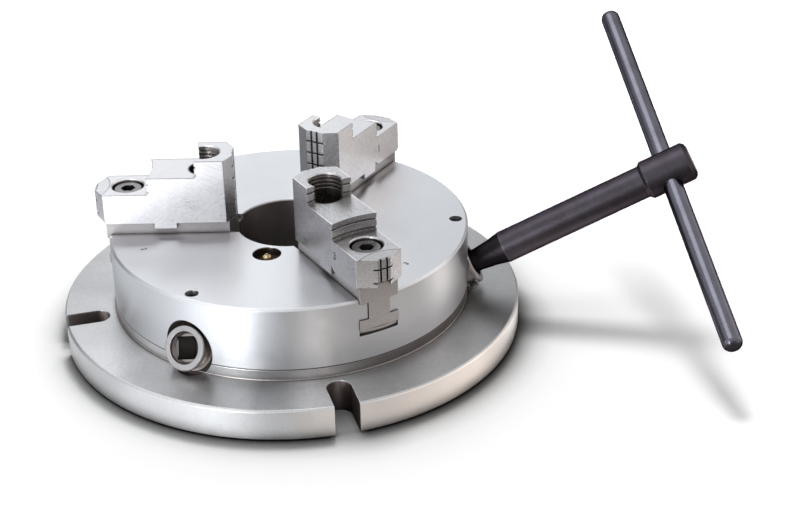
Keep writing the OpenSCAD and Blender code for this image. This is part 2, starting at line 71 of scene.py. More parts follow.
UPWARD = (0, 0, 1)
WHITE = (1, 1, 1)
BLACK = (0, 0, 0)


# Camera: the photograph's angle, found by fitting the turned circles
RIGHT = (0.96259321, -0.27050408, -0.01555158)
UP = (0.13901022, 0.44377379, 0.88529147)
BACK = (-0.23257357, -0.85433738, 0.46477647)
EYE = (-0.12748, -0.661994, 0.385575)
LENS = 73.043
cam_data = bpy.data.cameras.new("camera")
cam_data.sensor_width = 36
cam_data.lens = LENS
cam_data.clip_start = 0.01
cam = bpy.data.objects.new("camera", cam_data)
scene.collection.objects.link(cam)
cam.matrix_world = Matrix.Translation(EYE) @ Matrix((RIGHT, UP, BACK)).transposed().to_4x4()
scene.camera = cam
scene.view_settings.view_transform = "Standard"


def scaled(color, amount):
    return tuple(amount * c for c in color)


def on_circle(radius, degrees, z=0):
    a = math.radians(degrees)
    return (radius * math.cos(a), radius * math.sin(a), z)


def slanted(az):
    """Direction of the axis of the pinion at azimuth az, outwards and up."""
    a = math.radians(az)
    return (math.cos(TILT) * math.cos(a), math.cos(TILT) * math.sin(a), math.sin(TILT))


class Tree:
    """The node tree of a material or world, with one call for each kind of node."""

    def __init__(self, data, output="ShaderNodeOutputMaterial"):
        self.data = data
        data.use_nodes = True
        self.nt = data.node_tree
        self.nt.nodes.clear()
        self.out = self.new(output)

    def new(self, kind):
        return self.nt.nodes.new(kind)

    def link(self, a, b):
        self.nt.links.new(a, b)

    def put(self, node, key, value):
        """Links a socket to the node's input, or sets the input to a value."""
        if isinstance(value, bpy.types.NodeSocket):
            self.link(value, node.inputs[key])
        elif value is not None:
            node.inputs[key].default_value = value

    def finish(self, node):
        self.link(node.outputs[0], self.out.inputs[0])
        return self.data

    # Numbers and masks
    def math(self, op, a, b=None, clamp=False):
        n = self.new("ShaderNodeMath")
        n.operation = op
        n.use_clamp = clamp
        self.put(n, 0, a)
        self.put(n, 1, b)
        return n.outputs[0]

    def times(self, value, *factors):
        for factor in factors:
            value = self.math("MULTIPLY", value, factor)
        return value

    def rest(self, mask):
        return self.math("SUBTRACT", 1.0, mask)

    def blend(self, a, b, share):
        """The share of a, and the rest of b."""
        return self.math("ADD", self.times(a, share), self.times(b, 1 - share))

    def span(self, v, a, b, c, d):
        """Takes the range from a to b to the range from c to d, and stops at its ends."""
        n = self.new("ShaderNodeMapRange")
        self.link(v, n.inputs["Value"])
        for key, w in zip(("From Min", "From Max", "To Min", "To Max"), (a, b, c, d)):
            n.inputs[key].default_value = w
        return n.outputs[0]

    def rise(self, v, a, b):
        return self.span(v, a, b, 0.0, 1.0)

    def fall(self, v, a, b):
        return self.span(v, a, b, 1.0, 0.0)

    def band(self, v, a, b, c, d):
        """Mask that rises from a to b and falls from c to d."""
        return self.times(self.rise(v, a, b), self.fall(v, c, d))

    def grey(self, fac, stops):
        """Number that runs through the stops, pairs of place and amount from 0 to 1."""
        return self.xyz(self.ramp(fac, [(p, (v,) * 3) for p, v in stops]))[0]

    def by_azimuth(self, x, y, table, top=1.0):
        """Number from a table of degrees, which start at azimuth -180, and amounts up to top."""
        place = self.span(self.math("ARCTAN2", y, x), -math.pi, math.pi, 0.0, 1.0)
        amount = self.grey(place, [(d / 360, v / top) for d, v in table])
        return amount if top == 1.0 else self.times(amount, top)

    # Places and directions
    def coords(self):
        return self.new("ShaderNodeTexCoord").outputs["Object"]

    def normal(self):
        return self.new("ShaderNodeNewGeometry").outputs["Normal"]

    def vec(self, x, y, z):
        n = self.new("ShaderNodeCombineXYZ")
        for i, v in enumerate((x, y, z)):
            self.put(n, i, v)
        return n.outputs[0]

    def xyz(self, v):
        n = self.new("ShaderNodeSeparateXYZ")
        self.link(v, n.inputs[0])
        return n.outputs

    def vector(self, op, a, b=None):
        n = self.new("ShaderNodeVectorMath")
        n.operation = op
        self.put(n, 0, a)
        self.put(n, 1, b)
        return n.outputs["Value" if op in ("DOT_PRODUCT", "LENGTH") else 0]

    def mapped(self, v, rot=(0, 0, 0), scale=(1, 1, 1)):
        n = self.new("ShaderNodeMapping")
        n.vector_type = "POINT"
        self.link(v, n.inputs["Vector"])
        n.inputs["Rotation"].default_value = rot
        n.inputs["Scale"].default_value = scale
        return n.outputs[0]

    def distance(self, x, y):
        return self.math("SQRT", self.math("ADD", self.times(x, x), self.times(y, y)))

    def near(self, p, at, axis, radius, blur=0.0004):
        """Mask that is 1 within radius of the line through at along axis, for the walls of holes."""
        across = self.vector("CROSS_PRODUCT", self.vector("SUBTRACT", p, at), axis)
        return self.fall(self.vector("LENGTH", across), radius, radius + blur)

    def along(self, p, at, axis, a, b):
        """Mask that rises from 0 to 1 between the distances a and b along axis, from at."""
        return self.rise(self.vector("DOT_PRODUCT", self.vector("SUBTRACT", p, at), axis), a, b)

    def around(self):
        """Tangent that runs round the bore's axis."""
        n = self.new("ShaderNodeTangent")
        n.direction_type = "RADIAL"
        n.axis = "Z"
        return n.outputs[0]

    # Textures and colours
    def noise(self, v, scale, detail, rough, distort=0.0):
        n = self.new("ShaderNodeTexNoise")
        self.link(v, n.inputs["Vector"])
        n.inputs["Scale"].default_value = scale
        n.inputs["Detail"].default_value = detail
        n.inputs["Roughness"].default_value = rough
        n.inputs["Distortion"].default_value = distort
        return n.outputs["Fac"]

    def mix(self, fac, a, b):
        n = self.new("ShaderNodeMix")
        n.data_type = "RGBA"
        n.clamp_factor = False
        self.put(n, 0, fac)
        for i, v in ((6, a), (7, b)):
            self.put(n, i, (*v, 1) if isinstance(v, tuple) else v)
        return n.outputs[2]

    def mottled(self, tone, dark, light):
        """Colour that wanders from dark to light with the noise in tone."""
        return self.mix(self.rise(tone, 0.3, 0.7), dark, light)

    def paint(self, color, tone, mask, share=1.0):
        """The colour with that of tone over it, by its share, where the mask is 1."""
        return self.mix(mask if share == 1.0 else self.times(mask, share), color, tone)

    def ramp(self, fac, stops):
        n = self.new("ShaderNodeValToRGB")
        els = n.color_ramp.elements
        while len(els) < len(stops):
            els.new(0.5)
        for e, (p, c) in zip(els, stops):
            e.position = p
            e.color = (*c, 1)
        self.link(fac, n.inputs[0])
        return n.outputs[0]

    # Surfaces
    def rounded(self, radius):
        """Normal with softly rounded edges, and a mask that is 1 on the edges."""
        n = self.new("ShaderNodeBevel")
        n.samples = 4
        n.inputs["Radius"].default_value = radius
        same = self.vector("DOT_PRODUCT", n.outputs[0], self.normal())
        return n.outputs[0], self.rise(same, 0.995, 0.90)

    def crevice(self, distance):
        """Mask that is 1 deep in corners, slots and holes, for painted shade where no light gets in, and where
        some oil gathers.
        """
        n = self.new("ShaderNodeAmbientOcclusion")
        n.samples = 6
        n.inputs["Distance"].default_value = distance
        return self.rise(n.outputs["AO"], 0.8, 0.35)

    def bump(self, height, distance, strength, normal):
        n = self.new("ShaderNodeBump")
        n.inputs["Strength"].default_value = strength
        n.inputs["Distance"].default_value = distance
        self.link(height, n.inputs["Height"])
        self.link(normal, n.inputs["Normal"])
        return n.outputs[0]

    def shader(self, color, metallic, rough, normal, **more):
        n = self.new("ShaderNodeBsdfPrincipled")
        self.link(color, n.inputs["Base Color"])
        n.inputs["Metallic"].default_value = metallic
        self.link(rough, n.inputs["Roughness"])
        self.link(normal, n.inputs["Normal"])
        for key, v in more.items():
            self.put(n, key.replace("_", " "), v)
        return self.finish(n)


def material(name):
    return Tree(bpy.data.materials.new(name))


# Tones of the flange by azimuth, in degrees from -180, all painted light: the painted highlight and shade on
# its top face, up to the most given first; the painted shade on the raised ring; the painted highlight on the
# flange's side.
FLANGE_SHEEN_MOST = 2.0
FLANGE_SHEEN = [(0, 1.05), (10, 1.08), (29, 1.6), (42, 1.25), (53, 0.93), (62, 0.66), (69, 0.55), (75, 0.95),
        (82, 1.8), (92, 1.4), (100, 1.1), (107, 0.9), (125, 1.05), (140, 0.9), (155, 0.75), (173, 0.85),
        (200, 1.0), (330, 1.0), (344, 0.93), (360, 1.05)]
RING_SHADE_BY_AZ = [(0, 0), (60, 0), (75, 0.1), (90, 0.35), (104, 0.6), (120, 0.78), (134, 0.8), (150, 0.6),
        (170, 0.2), (180, 0), (360, 0)]
RIM_HIGHLIGHT_BY_AZ = [(0, 0), (74, 0), (82, 0.12), (95, 0.3), (107, 0.68), (127, 0.92), (146, 0.18), (165, 0.02),
       (180, 0), (360, 0)]
FLANGE_DULL = (0.36, 0.36, 0.365)
FLANGE_LIGHT = (0.50, 0.50, 0.505)
TURNED_EDGE = (0.84, 0.85, 0.87)
BORE_SHADE = (0.30, 0.27, 0.265)
SEAT_SHADE = (0.045, 0.035, 0.033)
SEAM_TONE = (0.11, 0.08, 0.07)
FOOT_SHADE = (0.16, 0.10, 0.085)
RING_SHADE_TONE = (0.06, 0.042, 0.036)
RIM_HIGHLIGHT_TONE = (0.98, 0.91, 0.86)
SLOT_WALL_SHADE = (0.27, 0.23, 0.22)
NIPPLE_CUP_SHADE = (0.085, 0.065, 0.055)
TURNED_OIL_AND_SHADE = (0.075, 0.06, 0.055)
FOOT_GLINT = (0.95, 0.95, 0.95)
LATHE_DRAW = 0.0009  # metres for a radian: so few draw the marks out round the axis


def turned(name, base, dark, rough, aniso, grain, flange):
    """Steel turned on a lathe about the bore's axis, with the marks of the tool."""
    t = material(name)
    p = t.coords()
    x, y, z = t.xyz(p)
    r = t.distance(x, y)
    lathe = t.vec(r, t.times(t.math("ARCTAN2", y, x), LATHE_DRAW), z)
    fine = t.noise(lathe, 3800, 3, 0.6)
    broad = t.noise(lathe, 520, 2, 0.5)
    mottle = t.noise(p, 900, 4, 0.65)
    cloud = t.noise(p, 26, 3, 0.5)
    smudge = t.noise(p, 75, 4, 0.6, 0.6)
    normal, edge = t.rounded(0.00028)
    bumped = t.bump(t.blend(fine, broad, 0.7), 0.000016, 0.55, normal)
    bumped = t.bump(mottle, 0.00002 * grain, 0.5, bumped)
    tone = t.blend(mottle, cloud, 0.55)
    color = t.mottled(tone, dark, base)
    if flange:
        level = t.times(t.rise(r, BODY_R - 0.001, BODY_R + 0.0005),
                        t.rise(z, FLANGE_TOP - 0.0004, FLANGE_TOP - 0.00005))
        # Painted highlight and shade on the flange's top face, by azimuth
        flange_sheen = t.by_azimuth(x, y, FLANGE_SHEEN, FLANGE_SHEEN_MOST)
        top = t.mix(flange_sheen, BLACK, t.mottled(tone, FLANGE_DULL, FLANGE_LIGHT))
        color = t.paint(color, top, level)
    deep = t.crevice(0.004)
    edge = t.times(edge, t.rest(deep))
    color = t.paint(color, TURNED_EDGE, edge, 0.75)
    # Painted shade on the bore's wall
    color = t.paint(color, BORE_SHADE, t.fall(r, BORE_R + 0.0001, BORE_R + 0.0006))
    # Painted shade in the relief round each pinion
    for az in PINION_AZ:
        axis = slanted(az)
        seat = t.times(t.near(p, APEX, axis, RELIEF_R + 0.00006, 0.00015),
                       t.along(p, APEX, axis, 0.05, 0.06))
        color = t.paint(color, SEAT_SHADE, seat, 0.95)
    seam = t.band(z, SEAM_Z - 0.0003, SEAM_Z - 0.0002, SEAM_Z + 0.0003, SEAM_Z + 0.0004)
    color = t.paint(color, SEAM_TONE, seam, 0.8)
    if flange:
        # Painted shade: a dark line in the corner under the raised ring, the ring's side and the slots' walls;
        # painted highlight on the flange's side
        outside = t.math("GREATER_THAN", r, OUTSIDE)
        foot = t.times(t.fall(r, BODY_R + 0.0007, BODY_R + 0.0009),
                       t.fall(z, FLANGE_TOP + 0.00002, FLANGE_TOP + 0.00004), outside)
        color = t.paint(color, FOOT_SHADE, foot, 0.7)
        # Painted shade on the raised ring's side, darker on some azimuths
        ring = t.times(t.fall(r, BODY_R + 0.0004, BODY_R + 0.0006), outside,
                       t.rise(z, FLANGE_TOP + 0.0006, FLANGE_TOP + 0.0010))
        color = t.paint(color, RING_SHADE_TONE, t.times(ring, t.by_azimuth(x, y, RING_SHADE_BY_AZ)))
        # Painted highlight on the flange's side, paler on some azimuths
        rim = t.times(t.rise(r, FLANGE_R - 0.00055, FLANGE_R - 0.00035),
                      t.fall(z, FLANGE_TOP - 0.0002, FLANGE_TOP))
        color = t.paint(color, RIM_HIGHLIGHT_TONE, t.times(rim, t.by_azimuth(x, y, RIM_HIGHLIGHT_BY_AZ)))
        # Painted shade on the slots' walls
        wall = t.times(t.band(r, BODY_R + 0.0030, BODY_R + 0.0033, FLANGE_R - 0.00145, FLANGE_R - 0.00105),
                       t.fall(z, FLANGE_TOP - 0.0008, FLANGE_TOP - 0.0004))
        color = t.paint(color, SLOT_WALL_SHADE, wall)
    else:
        # Painted shade in the grease nipple's cup
        cup = t.times(t.near(p, on_circle(NIPPLE_R, NIPPLE_AZ), UPWARD, NIPPLE_CUP_R),
                      t.fall(z, TOP_Z - 0.0007, TOP_Z - 0.0003))
        color = t.paint(color, NIPPLE_CUP_SHADE, cup)
    # Painted shade, with some oil, deep in corners and holes
    color = t.paint(color, TURNED_OIL_AND_SHADE, deep, 0.9)
    if flange:
        # Painted reflection: a bright line just above the corner, where the ring mirrors the flange
        glint = t.times(t.band(z, FLANGE_TOP + 0.00005, FLANGE_TOP + 0.0001,
                               FLANGE_TOP + 0.0005, FLANGE_TOP + 0.0006),
                        t.times(outside, t.math("LESS_THAN", r, BODY_R + 0.0015)))
        color = t.paint(color, FOOT_GLINT, glint, 0.8)
    wander = t.span(t.blend(smudge, mottle, 0.6), 0.35, 0.65, rough - 0.04, rough + 0.05)
    wander = t.math("SUBTRACT", wander, t.times(edge, 0.1))
    return t.shader(color, 1.0, wander, bumped, Anisotropic=aniso, Anisotropic_Rotation=0.25,
                    Tangent=t.around())


# Tones of the jaws
GROOVE_SHADE = (0.028, 0.024, 0.024)
ARC_PALE = (0.42, 0.42, 0.43)
ARC_LINE = (0.10, 0.09, 0.09)
TEE_GAP_SHADE = (0.03, 0.025, 0.025)
WELL_SHADE = (0.24, 0.215, 0.20)
GROUND_OIL_AND_SHADE = (0.055, 0.045, 0.04)
# Where a master jaw's tee ends, the top of the painted dark gap of shade there, and the foot of the thin
# painted dark line over it
TEE_END = 0.0803
GAP_Z = 0.0335
LIP_Z = 0.0347
# Strokes of the grinding wheel: angle in degrees and fineness on the sides, angle on the level faces
SIDE_STROKES = ((24, 1.0), (-40, 0.8), (52, 1.3), (-12, 1.1))
LEVEL_STROKES = (31, -55)
SIDE_GRAIN = (55, 900, 3300)
LEVEL_GRAIN = (55, 2400, 900)


def ground(name, az, base, dark, rough, scratch, edge_tone, top=1.0, flank_shade=1.0, bevel=0.00028, tee=False):
    """Hardened steel ground flat, with fine crossed scratches, in the jaw's own directions."""
    t = material(name)
    p = t.mapped(t.coords(), rot=(0, 0, math.radians(-az)))
    x, y, z = t.xyz(p)
    aside = t.math("ABSOLUTE", y)
    normal, edge = t.rounded(bevel)

    side = []
    for angle, fine in SIDE_STROKES:
        q = t.mapped(p, rot=(0, math.radians(angle), 0))
        q = t.mapped(q, scale=scaled(SIDE_GRAIN, fine))
        side.append(t.rise(t.noise(q, 1.0, 2, 0.5), 0.54, 0.70))
    level = []
    for angle in LEVEL_STROKES:
        q = t.mapped(p, rot=(0, 0, math.radians(angle)))
        q = t.mapped(q, scale=LEVEL_GRAIN)
        level.append(t.rise(t.noise(q, 1.0, 2, 0.5), 0.60, 0.74))
    cross = t.math("MAXIMUM", t.math("MAXIMUM", side[0], side[1]),
                   t.times(t.math("MAXIMUM", side[2], side[3]), 0.7))
    cross = t.math("MAXIMUM", cross, t.times(t.math("MAXIMUM", level[0], level[1]), 0.6))

    mottle = t.noise(p, 700, 3, 0.6)
    cloud = t.noise(p, 60, 3, 0.55)
    tone = t.blend(mottle, cloud, 0.5)
    color = t.mottled(tone, dark, base)
    up = t.rise(t.xyz(t.normal())[2], 0.8, 0.95)
    # Painted light: the top faces lighter or darker than the rest, by top
    color = t.paint(color, scaled(base, top), up)
    color = t.paint(color, scaled(base, 0.52), cross, 0.45 * scratch)
    deep = t.crevice(0.004)
    edge = t.times(edge, t.rest(deep))
    # Edges take the edge tone: a painted highlight where it is pale, a painted dark line where it is dark
    color = t.paint(color, edge_tone, edge, 0.8)

    def inside(run, half):
        """Depth under a chamfered end, whose flat lies at run 0 and is half wide to each side."""
        slope = t.times(t.math("MAXIMUM", t.math("SUBTRACT", aside, half), 0.0), FLANK)
        return t.math("SUBTRACT", run, slope)

    # Painted shade on the nose flank on the jaw's left, and in the grip lines near the nose and at the outer
    # end
    nose_in = inside(t.math("SUBTRACT", x, JAW_R), NOSE_HALF)
    end_in = inside(t.math("SUBTRACT", JAW_END, x), END_HALF)
    flank = t.times(t.fall(nose_in, 0.0001, 0.0002), t.math("GREATER_THAN", y, NOSE_HALF),
                    t.fall(z, HIGH_Z - 0.0003, HIGH_Z - 0.0001))
    color = t.paint(color, scaled(base, flank_shade), flank)
    nose = t.times(t.band(nose_in, 0.00018, 0.00026, 0.0007, 0.0008), t.fall(aside, 0.0054, 0.0055))
    end = t.times(t.band(end_in, 0.00018, 0.00026, 0.0011, 0.0012), t.fall(aside, 0.0104, 0.0105),
                  t.fall(z, LOW_STEP_Z - 0.0005, LOW_STEP_Z - 0.0003))
    groove = t.times(t.math("MAXIMUM", nose, end), t.rise(z, MASTER_Z + 0.0002, MASTER_Z + 0.0004),
                     t.fall(z, HIGH_Z - 0.0004, HIGH_Z - 0.0002))
    # Painted shade in the grip lines
    color = t.paint(color, GROOVE_SHADE, groove, 0.95)

    # The arc in the low step, in a tone of its own, with a thin dark line round it
    arc = t.near(p, (ARC_X, 0, 0), UPWARD, ARC_R, 0.0001)
    line = t.times(arc, t.rest(t.near(p, (ARC_X, 0, 0), UPWARD, ARC_R - 0.0004, 0.0001)))
    step = t.band(z, LOW_STEP_Z - 0.0006, LOW_STEP_Z - 0.0005, LOW_STEP_Z + 0.0002, LOW_STEP_Z + 0.0003)
    color = t.paint(color, ARC_PALE, t.times(arc, step), 0.35)
    color = t.paint(color, ARC_LINE, t.times(line, step), 0.8)
    # The same painted edge tone along the long edges of the top faces
    color = t.paint(color, edge_tone, t.times(up, t.rise(aside, 0.0103, 0.0105)), 0.75)
    if tee:
        # Painted shade: a dark gap below the tee's end, and a thin dark line over it
        end = t.rise(x, TEE_END, TEE_END + 0.0002)
        gap = t.times(end, t.fall(z, GAP_Z, GAP_Z + 0.0001))
        lip = t.times(end, t.band(z, LIP_Z, LIP_Z + 0.0001, LIP_Z + 0.0005, LIP_Z + 0.0006))
        color = t.paint(color, TEE_GAP_SHADE, t.math("MAXIMUM", gap, lip), 0.92)

    # Painted shade in the inner screw's well: it is brown, and less black with painted shade and oil than
    # other corners
    well = t.times(t.near(p, (INNER_SCREW_X, 0, 0), UPWARD, WELL_R),
                   t.fall(z, HIGH_Z - 0.0013, HIGH_Z - 0.0006))
    color = t.paint(color, WELL_SHADE, well, 0.9)
    deep = t.times(deep, t.math("SUBTRACT", 0.9, t.times(well, 0.65)))
    # Painted shade, with some oil, deep in corners and holes
    color = t.paint(color, GROUND_OIL_AND_SHADE, deep)
    bumped = t.bump(cross, 0.00002 * scratch, 0.5, normal)
    bumped = t.bump(mottle, 0.000008, 0.4, bumped)
    wander = t.span(tone, 0.3, 0.7, rough - 0.03, rough + 0.04)
    wander = t.math("ADD", wander, t.times(cross, 0.08 * scratch))
    return t.shader(color, 1.0, wander, bumped)


# Tones of the small pieces
PINION_SIDE = (0.50, 0.455, 0.43)
SOCKET_WALL_SHADE = (0.3, 0.27, 0.265)
SOCKET_DEPTH_SHADE = (0.24, 0.23, 0.225)
EYE_SHADE = (0.13, 0.09, 0.05)
EYE_RING = (0.05, 0.035, 0.025)
PLAIN_OIL_AND_SHADE = (0.04, 0.035, 0.035)


def plain(name, base, dark, rough, metallic=1.0, scale=600, edge_tone=None, socket_az=None, eye=False):
    """Metal with a light mottle, for pinions, screws, brass and the small pieces."""
    t = material(name)
    p = t.coords()
    normal, edge = t.rounded(0.0002)
    mottle = t.noise(p, scale, 4, 0.6)
    cloud = t.noise(p, 110, 3, 0.5)
    tone = t.blend(mottle, cloud, 0.6)
    color = t.mottled(tone, dark, base)
    if edge_tone:
        color = t.paint(color, edge_tone, edge, 0.8)
    if socket_az is not None:
        axis = slanted(socket_az)
        bore = t.near(p, APEX, axis, SOCKET_R)
        below_mouth = t.rest(t.along(p, APEX, axis, FACE_L - SOCKET_MOUTH, FACE_L - SOCKET_MOUTH + 0.0006))
        below_face = t.rest(t.along(p, APEX, axis, FACE_L - 0.0006, FACE_L - 0.0001))
        color = t.paint(color, PINION_SIDE, below_face)
        # Painted shade in the pinion's socket, darker deeper in
        color = t.paint(color, SOCKET_WALL_SHADE, t.times(bore, below_face))
        color = t.paint(color, SOCKET_DEPTH_SHADE, t.times(bore, below_mouth))
    if eye:
        at = on_circle(NIPPLE_R, NIPPLE_AZ)
        # Painted shade: all of the nipple but its tip is dark, down in its cup
        color = t.mix(t.near(p, at, UPWARD, 0.0017, 0.0003), EYE_SHADE, color)
        ring = t.math("SUBTRACT", t.near(p, at, UPWARD, 0.0009, 0.0001),
                      t.near(p, at, UPWARD, 0.0004, 0.0001))
        color = t.paint(color, EYE_RING, ring)
    # Painted shade, with some oil, deep in corners and holes
    color = t.paint(color, PLAIN_OIL_AND_SHADE, t.crevice(0.003), 0.6)
    bumped = t.bump(mottle, 0.00002, 0.6, normal)
    wander = t.span(tone, 0.3, 0.7, rough - 0.05, rough + 0.07)
    return t.shader(color, metallic, wander, bumped)


def bolt_steel(name, base, rough):
    # Pale edges: painted highlight, and wear
    worn_and_lit_edge = tuple(min(1, 1.5 * c) for c in base)
    return plain(name, base, scaled(base, 0.8), rough, scale=900, edge_tone=worn_and_lit_edge)


# Tones of the key
WORN_OXIDE = (0.25, 0.24, 0.26)
KEY_NOSE = (0.03, 0.026, 0.03)
KEY_JOINT = (0.11, 0.10, 0.115)
KEY_TOP = (0.34, 0.325, 0.33)
KEY_TOP_RIM = (0.05, 0.045, 0.045)
KEY_TOP_R = 0.0068  # inside of that rim
OXIDE_TINT = (0.25, 0.22, 0.24, 1)


def oxide(name, low, high, rough, shank):
    """Black oxide on a turned bar: blue in the light, brown where it is worn."""
    t = material(name)
    p = t.coords()
    normal, edge = t.rounded(0.0003)
    speck = t.noise(p, 1500, 4, 0.7)
    cloud = t.noise(p, 120, 4, 0.6)
    tone = t.blend(speck, cloud, 0.5)
    color = t.mottled(tone, low, high)
    color = t.paint(color, WORN_OXIDE, edge, 0.5)
    if shank:
        # Below the cone the key is darker, a paler line starts the cone, and the top face is pale
        axis = slanted(PINION_AZ[1])
        cone = t.along(p, APEX, axis, CONE_L, CONE_L + 0.0004)
        color = t.mix(cone, KEY_NOSE, color)
        joint = t.times(cone, t.rest(t.along(p, APEX, axis, CONE_L + 0.0008, CONE_L + 0.0013)))
        color = t.paint(color, KEY_JOINT, joint, 0.4)
        face = t.along(p, APEX, axis, HEAD_L, HEAD_L + 0.0002)
        outer = t.rest(t.near(p, APEX, axis, KEY_TOP_R, 0.0001))
        color = t.paint(color, t.mix(outer, KEY_TOP, KEY_TOP_RIM), face)
    bumped = t.bump(speck, 0.000015, 0.5, normal)
    wander = t.span(tone, 0.3, 0.7, rough, rough + 0.08)
    return t.shader(color, 1.0, wander, bumped, Specular_Tint=OXIDE_TINT)


# Each jaw's look, with painted light: its own tone, lighter or darker for how the light falls on it; how
# bright the top faces and the left nose flank are painted against it; the tone and width of the edges, and how
# deep the scratches are
JAW_LOOK = (
    (0.95, 0.68, 0.28, (0.22, 0.21, 0.21), 0.0005, 1.0),
    (0.96, 0.60, 0.6, (0.12, 0.115, 0.12), 0.0005, 1.0),
    (0.53, 1.0, 1.0, (0.82, 0.82, 0.84), 0.00028, 1.5),
)
M_BODY = turned("turned_body", (0.655, 0.665, 0.69), (0.595, 0.605, 0.63), 0.36, 0.72, 0.6, False)
M_FLANGE = turned("turned_flange", (0.60, 0.60, 0.605), (0.50, 0.50, 0.505), 0.38, 0.6, 1.6, True)
M_JAW = {}
M_MASTER = {}
for k, (az, (tone, top, flank_shade, edge, width, scratch)) in enumerate(zip(JAW_AZ, JAW_LOOK), 1):
    M_JAW[k] = ground(f"ground_jaw_{k}", az, scaled((1.0, 0.99, 1.015), tone),
                      scaled((1.0, 0.985, 1.01), 0.9 * tone), 0.27, scratch, edge, top, flank_shade, width)
    M_MASTER[k] = ground(f"ground_master_{k}", az, (0.50, 0.475, 0.475), (0.435, 0.41, 0.41), 0.30, 0.8,
                         (0.8, 0.79, 0.79), bevel=0.0002, tee=True)
M_PINION = {k: plain(f"pinion_steel_{k}", (0.37, 0.36, 0.365), (0.31, 0.30, 0.305), 0.36,
                     edge_tone=(0.8, 0.8, 0.8), socket_az=az) for k, az in enumerate(PINION_AZ, 1)}
M_SCROLL = plain("scroll_steel", (0.5, 0.5, 0.5), (0.4, 0.4, 0.4), 0.35)
M_BOLT = bolt_steel("bolt_steel", (0.22, 0.215, 0.22), 0.28)
M_STOP = bolt_steel("stop_screw_steel", (0.12, 0.11, 0.11), 0.4)
M_BRASS = plain("dull_brass", (0.72, 0.56, 0.33), (0.58, 0.43, 0.22), 0.3, edge_tone=(0.9, 0.8, 0.6), eye=True)
M_INK = plain("stamped_mark", (0.09, 0.085, 0.09), (0.05, 0.05, 0.05), 0.6, metallic=0.3)
M_SHANK = oxide("black_oxide_shank", (0.045, 0.037, 0.043), (0.082, 0.075, 0.092), 0.36, True)
M_BAR = oxide("black_oxide_bar", (0.10, 0.098, 0.118), (0.165, 0.165, 0.20), 0.15, False)


def dress(node, mat):
    for s in NODES[node].material_slots:
        s.material = mat


dress("base_flange", M_FLANGE)
dress("chuck_body", M_BODY)
dress("scroll_plate", M_SCROLL)
for k in (1, 2, 3):
    dress(f"pinion_{k}", M_PINION[k])
    dress(f"pinion_screw_{k}", M_STOP)
    dress(f"master_jaw_{k}", M_MASTER[k])
    dress(f"top_jaw_{k}", M_JAW[k])
    dress(f"jaw_bolt_inner_{k}", M_BOLT)
    dress(f"jaw_bolt_outer_{k}", M_BOLT)
dress("grease_nipple", M_BRASS)
dress("body_screws", M_BOLT)
dress("dowel_pins", M_BOLT)
dress("key_shaft", M_SHANK)
dress("key_bar", M_BAR)


# Stamped jaw numbers: thin dark marks on the body's top and on the jaws' sides
MARK_T = 0.00002
MARK_BOLD = 0.00009


def numeral(name, text, size, place, body):
    cu = bpy.data.curves.new(name, "FONT")
    cu.body = text
    cu.size = size
    cu.align_x = "CENTER"
    cu.align_y = "CENTER"
    cu.extrude = MARK_T
    cu.offset = MARK_BOLD
    ob = bpy.data.objects.new(name, cu)
    scene.collection.objects.link(ob)
    bpy.context.view_layer.update()
    me = bpy.data.meshes.new_from_object(ob.evaluated_get(bpy.context.evaluated_depsgraph_get()))
    bpy.data.objects.remove(ob)
    me.name = name
    me.materials.clear()
    me.materials.append(M_INK)
    ob = bpy.data.objects.new(name, me)
    scene.collection.objects.link(ob)
    ob.matrix_world = place
    bpy.context.view_layer.update()
    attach(ob, body)


BODY_MARK_R = 0.0688
BODY_MARK_TURN = 21  # degrees beside the jaw
BODY_MARK_SIZE = 0.0036
JAW_MARK_X = 0.0645
JAW_MARK_Z = 0.0635
JAW_MARK_SIDE = 0.01096  # just proud of the jaw's side
JAW_MARK_SIZE = 0.0050
for k, az in enumerate(JAW_AZ, 1):
    place = Matrix.Translation(on_circle(BODY_MARK_R, az + BODY_MARK_TURN, TOP_Z + MARK_T))
    place = place @ Matrix.Rotation(math.radians(az + BODY_MARK_TURN) + math.radians(90), 4, "Z")
    numeral(f"body_number_{k}", str(k), BODY_MARK_SIZE, place, "chuck")
    ahead = Vector(on_circle(1, az))
    out = Vector((ahead.y, -ahead.x, 0))
    at = ahead * JAW_MARK_X + out * JAW_MARK_SIDE + Vector((0, 0, JAW_MARK_Z))
    place = Matrix.Translation(at) @ Matrix((ahead, Vector(UPWARD), out)).transposed().to_4x4()
    numeral(f"jaw_number_{k}", str(k), JAW_MARK_SIZE, place, f"jaw_{k}")


# Studio: pale floor, soft lamps, and rings of pale and dark boards that only show in the metal
def stage_mesh(name, verts, faces, mat):
    me = bpy.data.meshes.new(name)
    me.from_pydata(verts, [], faces)
    me.materials.append(mat)
    ob = bpy.data.objects.new(name, me)
    scene.collection.objects.link(ob)
    return ob


# Painted shadow: the floor's colour is darkened by how open the sky is over it, and by distance from SIDE_AT.
# What the camera sees glows too, by distance from the middle: painted light that is nil next to the part, and
# a painted pool of light within SLOT_HALF of the clamp slots' middle lines.
FLOOR_HALF = 4.0
SHADE_REACH = 0.035
OPEN_SHADE = [(0.45, 0.1), (0.55, 0.24), (0.62, 0.46), (0.70, 0.68), (0.78, 0.82), (0.86, 0.93), (0.96, 0.98)]
SIDE_AT = (0.0085, -0.009)
SIDE_SHADE = [(0.094, 0.34), (0.100, 0.56), (0.106, 0.78), (0.113, 0.9), (0.123, 0.96), (0.14, 1.0)]
FLOOR_GLOW = [(0.108, 0.0), (0.125, 0.07), (0.16, 0.12), (0.3, 0.36), (0.7, 0.9)]
SLOT_HALF = (0.003, 0.0085)
SLOT_GLOW = [(0.088, 0.05), (0.103, 0.2), (0.107, 0.1), (0.114, 0.0)]


